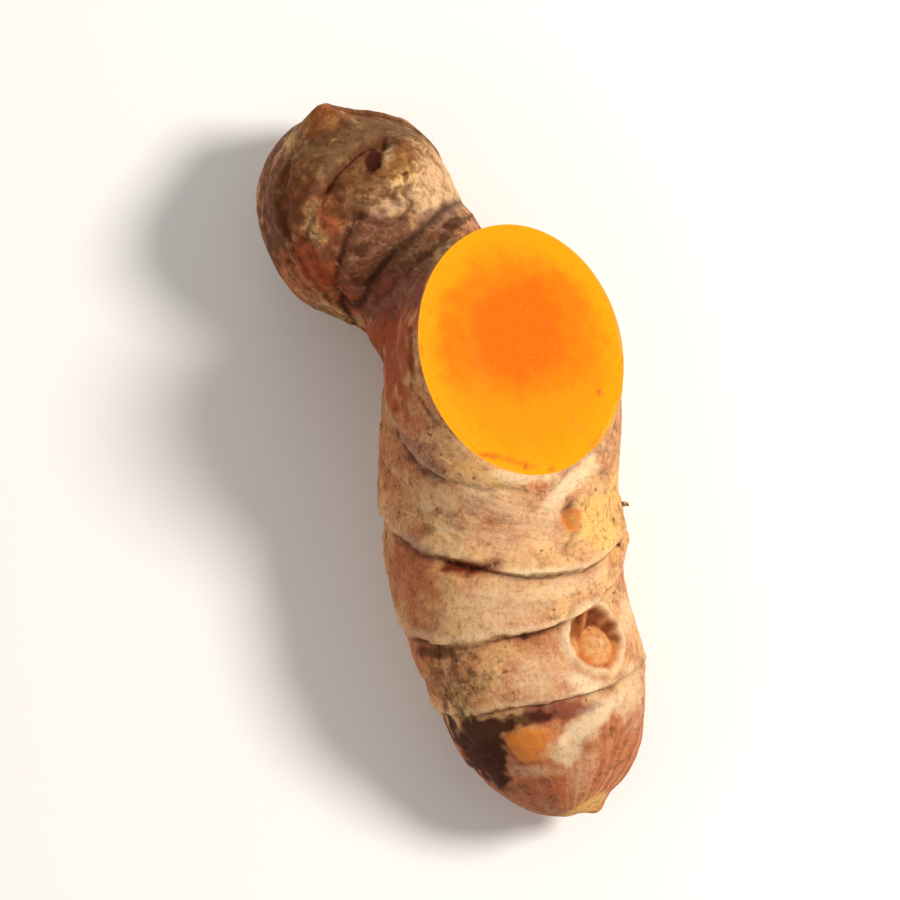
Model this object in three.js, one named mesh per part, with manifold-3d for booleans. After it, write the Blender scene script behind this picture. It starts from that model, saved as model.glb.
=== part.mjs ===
// A fresh turmeric rhizome: one thick finger with a cut end, and a stout side knob.
// Millimetres, +Z up. It lies as it comes to rest on a table. The origin is in the flat spot under
// the finger's belly, the finger's tip points along -Y, and the cut face looks up to the right.

import * as THREE from 'three';
import { mergeVertices } from 'three/addons/utils/BufferGeometryUtils.js';
import Module from 'manifold-3d';

const wasm = await Module();
wasm.setup();

// Driving sizes
const FINGER_LENGTH = 49.4; // along its middle line, from the cut to the tip
const KNOB_LENGTH = 21.5;
const SHOULDER_LENGTH = 22;
const LIP_RISE = 0.38; // how far a leaf scar's edge stands proud
const LIP_WIDTH = 2.2; // how far back from the edge the skin starts to rise
const STEP_DROP = 0.45; // how far the skin sinks just past the edge
const STEP_WIDTH = 1.5;
const SCAR_WANDER = 0.5; // how far a leaf scar wanders along the finger on its way round
const SWELL = 0.22; // uneven swelling of the flesh
const FADE = 5; // how far from a lobe's end its unevenness sets in
const ROUND_POWER = 2.5; // a closed end is rounded by this power, blunter when larger
const TABLE_WIDTH = 200;
const TABLE_DEPTH = 20;

// Fineness of the faceted skin
const FINGER_SIDES = 56;
const KNOB_SIDES = 40;
const SHOULDER_SIDES = 32;
const BUD_SIDES = 14;
const STEPS_BETWEEN_SCARS = [0.03, 0.12, 0.28, 0.46, 0.64, 0.82, 0.97];
const STEPS_IN_A_ROUND_END = 9;
const SMALLEST_SHARE = 0.02; // of a closed end's last ring, as a share of its half width
const JOIN_DISTANCE = 1e-4;
const SEAT_STEP = 0.4; // half the stretch of skin that sets the way a bud faces, along the lobe
const SEAT_TURN = 0.1; // and round it, in radians

const RIGHT = new THREE.Vector3(1, 0, 0);

// A station is a section of a lobe: its middle, the way it faces, and its half width and half height.
function station(middle, facing, halfWidth, halfHeight) {
  return {
    middle: new THREE.Vector3(...middle),
    facing: new THREE.Vector3(...facing),
    half: new THREE.Vector3(halfWidth, halfHeight, 0),
  };
}

function smoothCurve(points) {
  return new THREE.CatmullRomCurve3(points, false, 'catmullrom', 0.5);
}

// A lobe is a run of stations, evenly spaced along its length, with leaf scars at the given places.
function makeLobe({ length, stations, scars, roundFrom, roundTo = 0, sides }) {
  return {
    length,
    scars,
    roundFrom,
    roundTo,
    sides,
    middle: smoothCurve(stations.map((s) => s.middle)),
    facing: smoothCurve(stations.map((s) => s.facing)),
    half: smoothCurve(stations.map((s) => s.half)),
  };
}

// The finger runs from the cut face, down over its shoulder and out to the tip. Its leaf scars lean,
// the top nearer the tip, so the sections lean with them.
const finger = makeLobe({
  length: FINGER_LENGTH,
  sides: FINGER_SIDES,
  roundFrom: 35,
  scars: [10, 19.6, 27, 36.3],
  stations: [
    station([2.1, 8.1, 24.2], [-0.58, -0.05, -0.81], 12, 12),
    station([0.6, 4.9, 18], [-0.42, -0.48, -0.76], 12, 12.7),
    station([0.2, -0.5, 12], [-0.22, -0.75, -0.6], 11.9, 13.6),
    station([0.6, -7.2, 11], [-0.02, -0.85, -0.53], 11.5, 13.7),
    station([1.3, -14, 11.2], [0.28, -0.83, -0.48], 10.9, 12.3),
    station([3.5, -20.8, 10.3], [0.25, -0.91, -0.33], 10.4, 11),
    station([5.5, -27.6, 9.2], [0.22, -0.95, -0.2], 9.4, 9.7),
    station([6.3, -34.6, 8], [0.12, -0.98, -0.14], 8.3, 8.4),
  ],
});

// The knob is a short side shoot that stands up beside the cut, leaning towards it.
const knob = makeLobe({
  length: KNOB_LENGTH,
  sides: KNOB_SIDES,
  roundFrom: 11,
  roundTo: 9,
  scars: [13.4, 18],
  stations: [
    station([-15.4, 22.9, 0], [0.3, 0.11, 0.9], 9.6, 9.8),
    station([-14.6, 23.5, 4.8], [0.36, 0.11, 0.9], 9.9, 10.2),
    station([-13.5, 23.7, 9.8], [0.42, 0.04, 0.88], 10, 10.3),
    station([-11.6, 22.7, 15], [0.5, -0.06, 0.85], 9.8, 9.2),
    station([-8.6, 21.2, 20], [0.5, -0.14, 0.85], 9.4, 8.4),
  ],
});

// The shoulder is the low neck that the knob grew out of, between it and the finger.
const shoulder = makeLobe({
  length: SHOULDER_LENGTH,
  sides: SHOULDER_SIDES,
  roundFrom: 15,
  roundTo: 6,
  scars: [12.5],
  stations: [
    station([2, 5.5, 13], [-0.6, 0.77, -0.15], 8, 8.8),
    station([-3.2, 12, 11.4], [-0.6, 0.77, -0.15], 7.6, 8.8),
    station([-8, 17.6, 10.4], [-0.6, 0.77, -0.15], 7.8, 8.6),
    station([-12.5, 23, 10.2], [-0.6, 0.77, -0.15], 8, 8.2),
  ],
});

// Sections of a bud from its sunk foot to its middle, as shares of its radius and rise. An eye is a
// pale lid round a groove and a low dome, a blister has neither, and a point is a small cone.
const EYE = [
  [0, -1.6], [0.8, -1.6], [1, -0.2], [0.97, 0.3], [0.85, 0.5],
  [0.72, 0.14], [0.56, 0.5], [0.34, 0.85], [0, 0.8],
];
const BLISTER = [[0, -1.6], [0.8, -1.6], [1, -0.2], [0.9, 0.3], [0.7, 0.68], [0.4, 0.92], [0, 1]];
const POINT = [
  [0, -1.6], [0.8, -1.6], [1, -0.2], [0.84, 0.14],
  [0.62, 0.36], [0.42, 0.66], [0.2, 0.93], [0, 1],
];

// Buds, given by the lobe they sit on, the place along it, the angle round it in degrees from the
// right over the top, and their radius, width against height, rise and section.
const buds = [
  { on: finger, along: 31.2, angle: 45.5, radius: 3.3, stretch: 1, rise: 0.95, section: EYE },
  { on: finger, along: 41.1, angle: 101, radius: 2.3, stretch: 1.35, rise: 0.6, section: BLISTER },
  { on: finger, along: 11.9, angle: 54, radius: 1.7, stretch: 1, rise: 0.7, section: EYE },
  { on: finger, along: 48.6, angle: 330, radius: 1.6, stretch: 1.3, rise: 1.5, section: POINT },
  { on: finger, along: 23.2, angle: 196, radius: 2.8, stretch: 1, rise: 0.9, section: EYE },
  { on: finger, along: 15.2, angle: 318, radius: 3.2, stretch: 1, rise: 1.7, section: POINT },
  { on: finger, along: 6.5, angle: 290, radius: 2.6, stretch: 1, rise: 1, section: EYE },
  { on: knob, along: 13.6, angle: 116, radius: 3, stretch: 1, rise: 1.5, section: POINT },
  { on: knob, along: 19.8, angle: 90, radius: 2, stretch: 0.8, rise: 0.7, section: EYE },
  { on: knob, along: 9, angle: 62, radius: 2.4, stretch: 1, rise: 1, section: EYE },
];

// The share of its full size that a lobe has at a place along it: an ellipse-like closed end.
function roundness(lobe, along) {
  const pastShoulder = Math.max(0, (along - lobe.roundFrom) / (lobe.length - lobe.roundFrom));
  const beforeBase = lobe.roundTo > 0 ? Math.max(0, (lobe.roundTo - along) / lobe.roundTo) : 0;
  const closing = 1 - Math.pow(Math.min(1, pastShoulder), ROUND_POWER);
  const opening = 1 - Math.pow(Math.min(1, beforeBase), ROUND_POWER);
  return Math.sqrt(Math.max(0, closing * opening));
}

// The height of the skin round the leaf scars: it rises slowly to a lip, then steps down.
function scarRelief(lobe, along) {
  let height = 0;
  for (const scar of lobe.scars) {
    const past = along - scar;
    height += past < 0 ? LIP_RISE * Math.exp(past / LIP_WIDTH) : -STEP_DROP * Math.exp(-past / STEP_WIDTH);
  }
  return height;
}

// Slow waves that swell the flesh: how many go round, how fast they turn along the lobe, where they
// start, and how strong each is.
const SWELL_WAVES = [
  { round: 2, twist: 0.31, start: 0.6, strength: 1 },
  { round: 3, twist: -0.23, start: 2.1, strength: 0.6 },
  { round: 5, twist: 0.47, start: 4, strength: 0.35 },
];

// Low uneven swelling of the skin.
function swelling(along, angle) {
  const height = (w) => w.strength * Math.sin(w.round * angle + w.twist * along + w.start);
  return SWELL * SWELL_WAVES.reduce((sum, wave) => sum + height(wave), 0);
}

// How far a section's edge is shifted along the lobe, so that no scar runs in one plane: one wave
// goes twice round and a weaker one five times.
function wander(angle) {
  return SCAR_WANDER * (0.6 * Math.sin(2 * angle + 0.9) + 0.4 * Math.sin(5 * angle + 2.3));
}

// The point of a lobe's skin for a share of the radius, an angle and a place along it. The relief
// fades towards the middle of a closed end, and the unevenness towards both ends.
function skinPoint(lobe, share, angle, along) {
  const outer = Math.min(1, 2 * share);
  const fromStart = THREE.MathUtils.smoothstep(along, 0, FADE);
  const fromEnd = THREE.MathUtils.smoothstep(lobe.length - along, 0, FADE);
  const shifted = along + wander(angle) * outer * fromStart * fromEnd;
  const place = THREE.MathUtils.clamp(shifted / lobe.length, 0, 1);
  const middle = lobe.middle.getPoint(place);
  const facing = lobe.facing.getPoint(place).normalize();
  const half = lobe.half.getPoint(place);
  const side = RIGHT.clone().addScaledVector(facing, -RIGHT.dot(facing)).normalize();
  const top = facing.clone().cross(side);
  const relief = outer * (scarRelief(lobe, along) + swelling(along, angle) * fromStart);
  return middle
    .addScaledVector(side, (half.x * share + relief) * Math.cos(angle))
    .addScaledVector(top, (half.y * share + relief) * Math.sin(angle));
}

// Places along a lobe where its skin has an edge loop, closer together at the leaf scars.
function loopPlaces(lobe) {
  const places = [];
  const stops = [lobe.roundTo, ...lobe.scars, lobe.length];
  for (let i = 0; i + 1 < stops.length; i += 1) {
    const last = i + 2 === stops.length;
    const span = stops[i + 1] - stops[i];
    const shares = last ? roundEndShares() : STEPS_BETWEEN_SCARS;
    places.push(...shares.map((share) => stops[i] + share * span));
  }
  const base = roundEndShares().map((share) => lobe.roundTo * (1 - share));
  return lobe.roundTo > 0 ? [...base.reverse(), ...places] : [0, ...places.filter((place) => place > 0)];
}

// Shares of a closing span, closer together where the end turns in.
function roundEndShares() {
  const shares = [];
  for (let k = 0; k <= STEPS_IN_A_ROUND_END; k += 1) {
    shares.push(Math.max(STEPS_BETWEEN_SCARS[0], Math.sin((k / STEPS_IN_A_ROUND_END) * Math.PI * 0.5)));
  }
  return shares;
}

// A closed mesh as a solid: vertices in the same place are joined, and faces with no area dropped.
function toSolid(geometry) {
  const bare = geometry.clone();
  bare.deleteAttribute('normal');
  bare.deleteAttribute('uv');
  const joined = mergeVertices(bare, JOIN_DISTANCE);
  const corners = joined.index.array;
  const faces = [];
  for (let i = 0; i < corners.length; i += 3) {
    const [a, b, c] = [corners[i], corners[i + 1], corners[i + 2]];
    if (a !== b && b !== c && c !== a) {
      faces.push(a, b, c);
    }
  }
  const vertProperties = new Float32Array(joined.attributes.position.array);
  const triVerts = new Uint32Array(faces);
  return new wasm.Manifold(new wasm.Mesh({ numProp: 3, vertProperties, triVerts }));
}

// A lobe as a lathe-turned rod of unit radius, swelled and bent to the lobe's own shape.
function lobeSolid(lobe) {
  const places = loopPlaces(lobe);
  const profile = places.map((along) => {
    const share = Math.max(roundness(lobe, along), SMALLEST_SHARE);
    return new THREE.Vector2(share, along);
  });
  profile.unshift(new THREE.Vector2(0, places[0]));
  profile.push(new THREE.Vector2(0, places[places.length - 1]));
  const rod = new THREE.LatheGeometry(profile, lobe.sides);
  const position = rod.attributes.position;
  for (let i = 0; i < position.count; i += 1) {
    const share = Math.hypot(position.getX(i), position.getZ(i));
    const angle = Math.atan2(position.getX(i), position.getZ(i));
    const point = skinPoint(lobe, share, angle, position.getY(i));
    position.setXYZ(i, point.x, point.y, point.z);
  }
  return toSolid(rod);
}

// The place on a lobe's skin where a bud sits, and the way out of the skin there.
function budSeat(lobe, along, angle) {
  const at = (step, turn) => skinPoint(lobe, roundness(lobe, along + step), angle + turn, along + step);
  const point = at(0, 0);
  const lengthways = at(SEAT_STEP, 0).sub(at(-SEAT_STEP, 0));
  const crossways = at(0, SEAT_TURN).sub(at(0, -SEAT_TURN));
  const outward = crossways.cross(lengthways).normalize();
  return { point, outward };
}

// A bud as a small turned dome, set on the skin with its foot sunk in as far as its profile says.
function budSolid(bud) {
  const angle = THREE.MathUtils.degToRad(bud.angle);
  const { point, outward } = budSeat(bud.on, bud.along, angle);
  const height = (share) => share * (share < 0 ? Math.max(bud.rise, 1) : bud.rise);
  const profile = bud.section.map(([r, h]) => new THREE.Vector2(r * bud.radius, height(h)));
  const dome = new THREE.LatheGeometry(profile, BUD_SIDES);
  dome.scale(bud.stretch, 1, 1);
  dome.applyQuaternion(new THREE.Quaternion().setFromUnitVectors(new THREE.Vector3(0, 1, 0), outward));
  dome.translate(point.x, point.y, point.z);
  return toSolid(dome);
}

// Everything below the table, as a block whose top is the table.
function tableSolid() {
  const block = new THREE.BoxGeometry(TABLE_WIDTH, TABLE_WIDTH, TABLE_DEPTH);
  block.translate(0, 0, -TABLE_DEPTH / 2);
  return toSolid(block);
}

function rhizomeGeometry() {
  let root = lobeSolid(finger).add(lobeSolid(shoulder)).add(lobeSolid(knob));
  for (const bud of buds) {
    root = root.add(budSolid(bud));
  }
  const mesh = root.subtract(tableSolid()).getMesh();
  const geometry = new THREE.BufferGeometry();
  geometry.setAttribute('position', new THREE.BufferAttribute(mesh.vertProperties, 3));
  geometry.setIndex(new THREE.BufferAttribute(mesh.triVerts, 1));
  geometry.computeVertexNormals();
  return geometry;
}

const skin = new THREE.MeshStandardMaterial({ color: 0xb07c4c, roughness: 0.75, metalness: 0 });

const turmericRhizome = new THREE.Mesh(rhizomeGeometry(), skin);
turmericRhizome.name = 'turmeric_rhizome';

const part = new THREE.Group();
part.add(turmericRhizome);

export default part;
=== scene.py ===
import math

import bpy
import numpy as np
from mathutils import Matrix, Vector


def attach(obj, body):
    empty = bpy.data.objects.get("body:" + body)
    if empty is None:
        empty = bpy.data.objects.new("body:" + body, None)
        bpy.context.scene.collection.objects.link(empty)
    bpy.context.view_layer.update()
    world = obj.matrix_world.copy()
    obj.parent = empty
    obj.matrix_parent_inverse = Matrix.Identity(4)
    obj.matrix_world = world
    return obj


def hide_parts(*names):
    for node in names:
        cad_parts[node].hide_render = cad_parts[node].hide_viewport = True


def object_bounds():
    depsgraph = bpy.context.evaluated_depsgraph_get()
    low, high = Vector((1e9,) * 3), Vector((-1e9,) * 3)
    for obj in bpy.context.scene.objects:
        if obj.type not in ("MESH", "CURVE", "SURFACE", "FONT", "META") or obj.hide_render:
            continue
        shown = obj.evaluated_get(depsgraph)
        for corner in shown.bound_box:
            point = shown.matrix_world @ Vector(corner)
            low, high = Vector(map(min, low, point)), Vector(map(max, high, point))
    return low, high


bl_info = {
    "name": "Turmeric root",
    "version": (1, 0, 0),
    "blender": (4, 5, 0),
    "location": "3D View > Sidebar > Turmeric",
    "description": "Grows a fresh turmeric root with leaf scars, bud eyes and a cut face",
    "category": "Add Mesh",
}

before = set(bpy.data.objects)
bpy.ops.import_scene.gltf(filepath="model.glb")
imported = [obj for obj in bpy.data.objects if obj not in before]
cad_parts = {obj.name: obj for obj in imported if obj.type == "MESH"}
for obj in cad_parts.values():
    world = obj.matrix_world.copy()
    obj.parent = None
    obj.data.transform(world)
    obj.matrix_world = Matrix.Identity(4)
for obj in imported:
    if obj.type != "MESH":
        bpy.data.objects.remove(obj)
CAD_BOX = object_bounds()

MM = 0.001
NODE = "turmeric_rhizome"
SEED = 41

# The photograph's frame, and where it meets the root: the pixel that lies over the row's X and Z
# axes, the size of a pixel on the root, and how steeply the camera looks down.
PHOTO_ZERO = (570.0, 460.0)
MM_PER_PIXEL = 0.19
CAMERA_ELEVATION = 82.0

# The reach in degrees of a scar that goes all the way round.
ALL_ROUND = 360


def station(middle, facing, half_width, half_height):
    """A section of a lobe: its middle, the way it faces and its half width and half height, in mm."""
    return {"middle": middle, "facing": facing, "half": (half_width, half_height)}


# A lobe's length and where its ends start to round off are in mm. Its columns are those of its grid,
# dust is how grey-brown it is all over, on the knob partly painted shade, and wear is how pale its
# scars' lips are, partly rubbed and partly a painted highlight. Its leaf scars, and the partial creases
# between them, are each a place along it, a strength, the angle that they are centred on in degrees from
# the right over the top, and how far round they reach. Leaf scars lean, and so do the sections.

# The finger, from the cut face over its shoulder to the tip.
FINGER = {
    "name": "finger",
    "length": 49.4,
    "round_from": 35.0,
    "round_to": 0.0,
    "columns": 252,
    "dust": 0.2,
    "lip_wear_and_highlight": 1.0,
    "scars": [
        (10.0, 0.75, 225, 130),
        (19.6, 1.0, 0, ALL_ROUND),
        (27.0, 1.1, 0, ALL_ROUND),
        (36.3, 0.9, 0, ALL_ROUND),
    ],
    "creases": [
        (5.2, 0.30, 190, 50),
        (14.6, 0.30, 175, 45),
        (23.0, 0.14, 60, 45),
        (31.8, 0.30, 160, 40),
        (42.8, 0.30, 250, 110),
        (12.9, 0.50, 270, 100),
        (31.0, 0.55, 280, 90),
    ],
    "stations": [
        station((2.1, 8.1, 24.2), (-0.58, -0.05, -0.81), 12.0, 12.0),
        station((0.6, 4.9, 18.0), (-0.42, -0.48, -0.76), 12.0, 12.7),
        station((0.2, -0.5, 12.0), (-0.22, -0.75, -0.6), 11.9, 13.6),
        station((0.6, -7.2, 11.0), (-0.02, -0.85, -0.53), 11.5, 13.7),
        station((1.3, -14.0, 11.2), (0.28, -0.83, -0.48), 10.9, 12.3),
        station((3.5, -20.8, 10.3), (0.25, -0.91, -0.33), 10.4, 11.0),
        station((5.5, -27.6, 9.2), (0.22, -0.95, -0.2), 9.4, 9.7),
        station((6.3, -34.6, 8.0), (0.12, -0.98, -0.14), 8.3, 8.4),
    ],
}

# The knob, a short side shoot that stands up beside the cut and leans towards it.
KNOB = {
    "name": "knob",
    "length": 21.5,
    "round_from": 11.0,
    "round_to": 9.0,
    "columns": 210,
    # The knob's heavy grey-brown is partly painted shade, darkening the whole knob.
    "dust": 1.15,
    "lip_wear_and_highlight": 0.2,
    "scars": [(13.4, 0.6, 0, ALL_ROUND), (18.0, 0.5, 150, 150)],
    "stations": [
        station((-15.4, 22.9, 0.0), (0.3, 0.11, 0.9), 9.6, 9.8),
        station((-14.6, 23.5, 4.8), (0.36, 0.11, 0.9), 9.9, 10.2),
        station((-13.5, 23.7, 9.8), (0.42, 0.04, 0.88), 10.0, 10.3),
        station((-11.6, 22.7, 15.0), (0.5, -0.06, 0.85), 9.8, 9.2),
        station((-8.6, 21.2, 20.0), (0.5, -0.14, 0.85), 9.4, 8.4),
    ],
}

# The shoulder, the low neck that the knob grew out of.
SHOULDER_FACING = (-0.6, 0.77, -0.15)
SHOULDER = {
    "name": "shoulder",
    "length": 22.0,
    "round_from": 15.0,
    "round_to": 6.0,
    "columns": 150,
    "dust": 1.1,
    "lip_wear_and_highlight": 0.2,
    "scars": [(12.5, 0.5, 0, ALL_ROUND)],
    "stations": [
        station((2.0, 5.5, 13.0), SHOULDER_FACING, 8.0, 8.8),
        station((-3.2, 12.0, 11.4), SHOULDER_FACING, 7.6, 8.8),
        station((-8.0, 17.6, 10.4), SHOULDER_FACING, 7.8, 8.6),
        station((-12.5, 23.0, 10.2), SHOULDER_FACING, 8.0, 8.2),
    ],
}

# Folds seen in the photograph, each a groove with painted shade down it: the lobe, the strength, the
# half width in mm, and the pixels that the fold runs through.
FOLDS = [
    ("knob", 0.9, 0.30, [(500, 333), (495, 340), (492, 350), (488, 362), (488, 371), (496, 381)]),
    ("knob", 0.6, 0.25, [(512, 292), (499, 299), (490, 307), (484, 315), (480, 325), (475, 336),
        (472, 344)]),
    ("knob", 0.9, 0.40, [(506, 309), (509, 303), (513, 294)]),
    ("knob", 0.5, 0.22, [(466, 294), (462, 307), (461, 322), (461, 337), (463, 352), (468, 364)]),
    ("knob", 0.7, 0.25, [(522, 321), (527, 327), (521, 334)]),
    ("knob", 0.5, 0.20, [(497, 325), (506, 327), (514, 322), (520, 325)]),
    ("finger", 0.8, 0.40, [(516, 440), (520, 447), (524, 453), (531, 460), (540, 465)]),
    ("finger", 0.4, 0.22, [(538, 464), (548, 467), (562, 469), (580, 470)]),
    ("finger", 0.3, 0.22, [(596, 470), (606, 459), (617, 451)]),
    ("finger", 0.9, 0.26, [(603, 488), (601, 482), (606, 477)]),
    ("finger", 0.5, 0.22, [(606, 493), (602, 499)]),
    ("finger", 1.0, 0.34, [(543, 505), (551, 508), (560, 508), (568, 506)]),
    ("finger", 0.8, 0.25, [(551, 513), (554, 509)]),
]

# Bud eyes: the lobe, the place along it, the angle round it, the radius, the width against the
# height, the rise, how strongly the bud is coloured, and its section.
BUDS = [
    ("finger", 31.0, 46.0, 3.2, 1.0, 1.00, 0.64, "eye"),
    ("finger", 41.3, 102.5, 2.1, 1.30, 0.65, 1.00, "blister"),
    ("finger", 11.5, 56.0, 1.3, 1.25, 0.45, 0.60, "blister"),
    ("finger", 48.6, 330.0, 1.6, 1.3, 1.10, 0.00, "point"),
    ("finger", 23.2, 196.0, 2.8, 1.0, 0.80, 0.60, "eye"),
    ("finger", 15.2, 318.0, 3.2, 1.0, 1.60, 0.40, "point"),
    ("finger", 6.5, 290.0, 2.6, 1.0, 0.90, 0.60, "eye"),
    ("knob", 13.6, 116.0, 3.0, 1.0, 1.45, 0.15, "point"),
    ("knob", 19.8, 94.0, 2.1, 1.0, 0.55, 0.10, "torn"),
    ("knob", 9.0, 62.0, 2.4, 1.0, 0.90, 0.60, "eye"),
]

# Sections of the plainer buds from the middle to past the foot: shares of the radius, then of the
# rise.
BUD_SECTIONS = {
    "blister": ((0, 0.3, 0.6, 0.8, 0.95, 1.1, 1.3), (1, 0.96, 0.86, 0.68, 0.3, 0.06, 0)),
    "point": ((0, 0.2, 0.42, 0.62, 0.84, 1.0, 1.2, 1.4), (1, 0.9, 0.62, 0.36, 0.2, 0.1, 0.03, 0)),
    "torn": ((0, 0.3, 0.5, 0.65, 0.85, 1.05, 1.4), (0.35, 0.3, 0.0, -0.1, 0.3, 0.35, 0)),
}

# Patches of tone seen in the photograph: the tone, the pixel of its middle, its half length and half
# width in mm, how far it is turned anticlockwise in degrees, and its strength. Some pale patches are
# painted highlights, and some red and dark ones are painted shade.
PATCHES = [
    # The knob.
    ("red", (479, 357), (4.8, 1.9), -48, 1.0),
    ("red", (495, 374), (1.8, 1.2), -60, 0.9),
    ("red", (467, 331), (5.0, 1.7), 84, 0.8),
    ("grey", (463, 322), (6.5, 2.6), 84, 1.1),
    ("red", (455, 322), (6.0, 1.3), 88, 0.8),
    ("plum", (453, 330), (5.5, 1.0), 88, 0.6),
    ("red", (486, 337), (3.0, 1.2), -60, 0.8),
    ("red", (461, 352), (4.5, 1.4), -62, 0.8),
    ("dark", (476, 348), (2.4, 0.22), -70, 0.4),
    ("red", (482, 277), (1.8, 0.9), 0, 0.8),
    ("grey", (493, 297), (7.0, 4.6), 15, 1.3),
    ("grey", (470, 305), (3.8, 2.4), 60, 0.5),
    ("grey", (512, 283), (4.0, 1.3), -15, 0.7),
    ("grey", (497, 318), (3.4, 3.0), 0, 1.1),
    ("plum", (507, 348), (4.0, 3.4), 40, 1.0),
    ("grey", (504, 340), (4.6, 4.0), 40, 0.7),
    ("plum", (531, 343), (4.4, 1.6), 40, 1.0),
    ("dark", (500, 350), (1.1, 0.7), 20, 0.6),
    ("dark", (506, 335), (1.6, 0.4), -20, 0.5),
    ("dark", (490, 321), (0.9, 0.6), -50, 0.5),
    ("dark", (491, 286), (0.9, 0.6), 30, 0.5),
    ("dark", (481, 293), (1.6, 0.6), 10, 0.35),
    ("dark", (549, 335), (1.6, 0.45), 25, 0.8),
    ("pale", (538, 318), (3.1, 3.0), 30, 0.42),
    ("pale", (515, 329), (1.9, 0.9), 20, 0.5),
    ("pale", (515, 299), (0.8, 0.5), 60, 0.6),
    ("pale", (517, 316), (1.0, 0.4), 10, 0.6),
    ("yellow", (520, 308), (1.6, 1.8), -30, 0.6),
    ("red", (522, 299), (1.6, 0.6), -25, 0.6),
    ("red", (514, 311), (1.0, 0.5), 60, 0.6),
    ("pale", (514, 301), (1.2, 0.7), 76, 0.85),
    ("dark", (507, 304), (1.5, 0.75), 66, 1.0),
    ("dark", (512, 296), (0.9, 0.3), 80, 0.8),
    ("dark", (523, 313), (0.55, 0.25), 80, 0.7),
    # The neck and the wall under the cut.
    ("plum", (519, 362), (4.6, 3.4), 50, 1.0),
    # Painted shade: the dark seam at the neck, and dark and red lines along the cut's left rim.
    ("dark", (514, 354), (2.6, 0.35), 50, 0.4),
    ("dark", (541, 345), (3.4, 0.35), 44, 0.6),
    ("red", (529, 373), (3.4, 0.6), 72, 0.9),
    ("dark", (526, 404), (4.0, 0.22), 92, 0.5),
    ("dark", (534, 430), (1.8, 0.2), -58, 0.45),
    # Painted shade: the left wall and the left flank of the bands, redder and darker away from the light.
    ("red", (515, 397), (7.4, 2.8), 90, 1.0),
    ("red", (516, 446), (5.0, 1.8), 90, 0.5),
    ("red", (521, 424), (9.0, 2.4), 88, 0.45),
    ("plum", (533, 452), (2.6, 1.3), -45, 0.75),
    ("red", (526, 514), (5.0, 2.8), 108, 0.62),
    ("red", (534, 563), (4.0, 1.1), 115, 0.6),
    ("red", (529, 534), (3.4, 1.5), 112, 0.5),
    # The bands, from the cut to the tip.
    ("pale", (578, 463), (3.6, 0.7), 0, 0.7),
    ("yellow", (558, 461), (2.8, 0.6), -28, 0.6),
    ("pale", (560, 474), (4.6, 1.8), -5, 0.35),
    # A painted highlight: the bright streak under the cut.
    ("pale", (606, 466), (3.5, 0.8), 43, 1.0),
    # A painted highlight: a small bright spot.
    ("pale", (539, 464), (0.8, 0.4), -20, 0.8),
    ("pale", (598, 481), (2.0, 0.9), 70, 0.5),
    ("yellow", (621, 487), (2.4, 2.8), 0, 1.0),
    ("yellow", (629, 470), (1.0, 2.2), 0, 0.9),
    ("red", (606, 483), (1.1, 0.8), 20, 0.7),
    ("dark", (535, 489), (0.7, 0.5), 0, 0.55),
    ("dark", (538, 481), (0.6, 0.35), 30, 0.45),
    ("pale", (533, 478), (0.9, 0.5), -20, 0.6),
    ("pale", (541, 489), (1.0, 0.5), -20, 0.55),
    ("plum", (548, 487), (0.8, 0.5), 0, 0.5),
    ("plum", (558, 480), (1.3, 0.5), 10, 0.45),
    ("plum", (572, 484), (1.0, 0.5), -10, 0.35),
    ("red", (566, 487), (1.4, 0.8), 0, 0.35),
    ("dark", (546, 482), (0.5, 0.4), 30, 0.4),
    ("plum", (527, 498), (2.8, 0.6), -28, 0.8),
    ("red", (555, 508), (2.6, 0.75), 3, 1.0),
    ("dark", (551, 509), (1.7, 0.35), 0, 0.6),
    ("pale", (565, 494), (4.6, 1.4), 0, 0.22),
    ("pale", (572, 526), (5.2, 2.6), 15, 0.38),
    ("pale", (602, 517), (3.8, 1.2), 25, 0.55),
    ("pale", (588, 511), (2.6, 0.4), 3, 0.7),
    ("pale", (590, 488), (2.6, 1.6), 0, 0.3),
    ("dark", (542, 551), (2.3, 0.5), -4, 0.75),
    ("dark", (548, 553), (0.6, 0.45), 0, 0.7),
    ("dark", (582, 542), (0.45, 0.3), 0, 0.8),
    ("red", (590, 543), (2.0, 1.4), 25, 0.4),
    ("grey", (551, 567), (3.6, 2.6), -20, 0.5),
    ("dark", (546, 572), (0.9, 0.35), 30, 0.45),
    ("dark", (556, 560), (0.5, 0.35), -30, 0.5),
    ("dark", (540, 563), (0.4, 0.6), 0, 0.45),
    ("pale", (603, 545), (1.9, 0.6), 100, 0.8),
    # A painted highlight below the bud eye.
    ("pale", (612, 566), (2.2, 1.0), -32, 1.0),
    ("pale", (632, 538), (2.8, 0.7), 80, 0.5),
    ("pale", (588, 562), (2.4, 1.6), 0, 0.4),
    ("red", (630, 562), (0.6, 0.4), 40, 0.9),
    ("red", (627, 505), (0.6, 0.4), 90, 0.8),
    # The tip.
    ("dark", (559, 598), (3.8, 1.9), -58, 1.0),
    # Painted shade: the dark, red and plum strip along the underside of the ring, beside the old dark
    # scale.
    ("dark", (562, 588), (3.6, 0.85), 6, 1.0),
    ("dark", (580, 584), (3.0, 0.6), 7, 0.85),
    ("red", (601, 580), (3.2, 0.9), 8, 0.9),
    ("plum", (600, 579), (3.4, 0.8), 8, 0.8),
    ("pale", (617, 583), (3.8, 1.15), 46, 1.0),
    ("pale", (602, 599), (1.5, 1.3), 0, 0.8),
    ("pale", (634, 572), (1.5, 2.6), 0, 0.55),
    ("pale", (611, 612), (2.6, 1.0), 70, 0.3),
    ("pale", (585, 610), (2.6, 0.5), 0, 0.35),
    ("plum", (582, 621), (4.4, 2.2), -38, 0.5),
    ("red", (600, 618), (2.6, 1.8), 0, 0.35),
]

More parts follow.
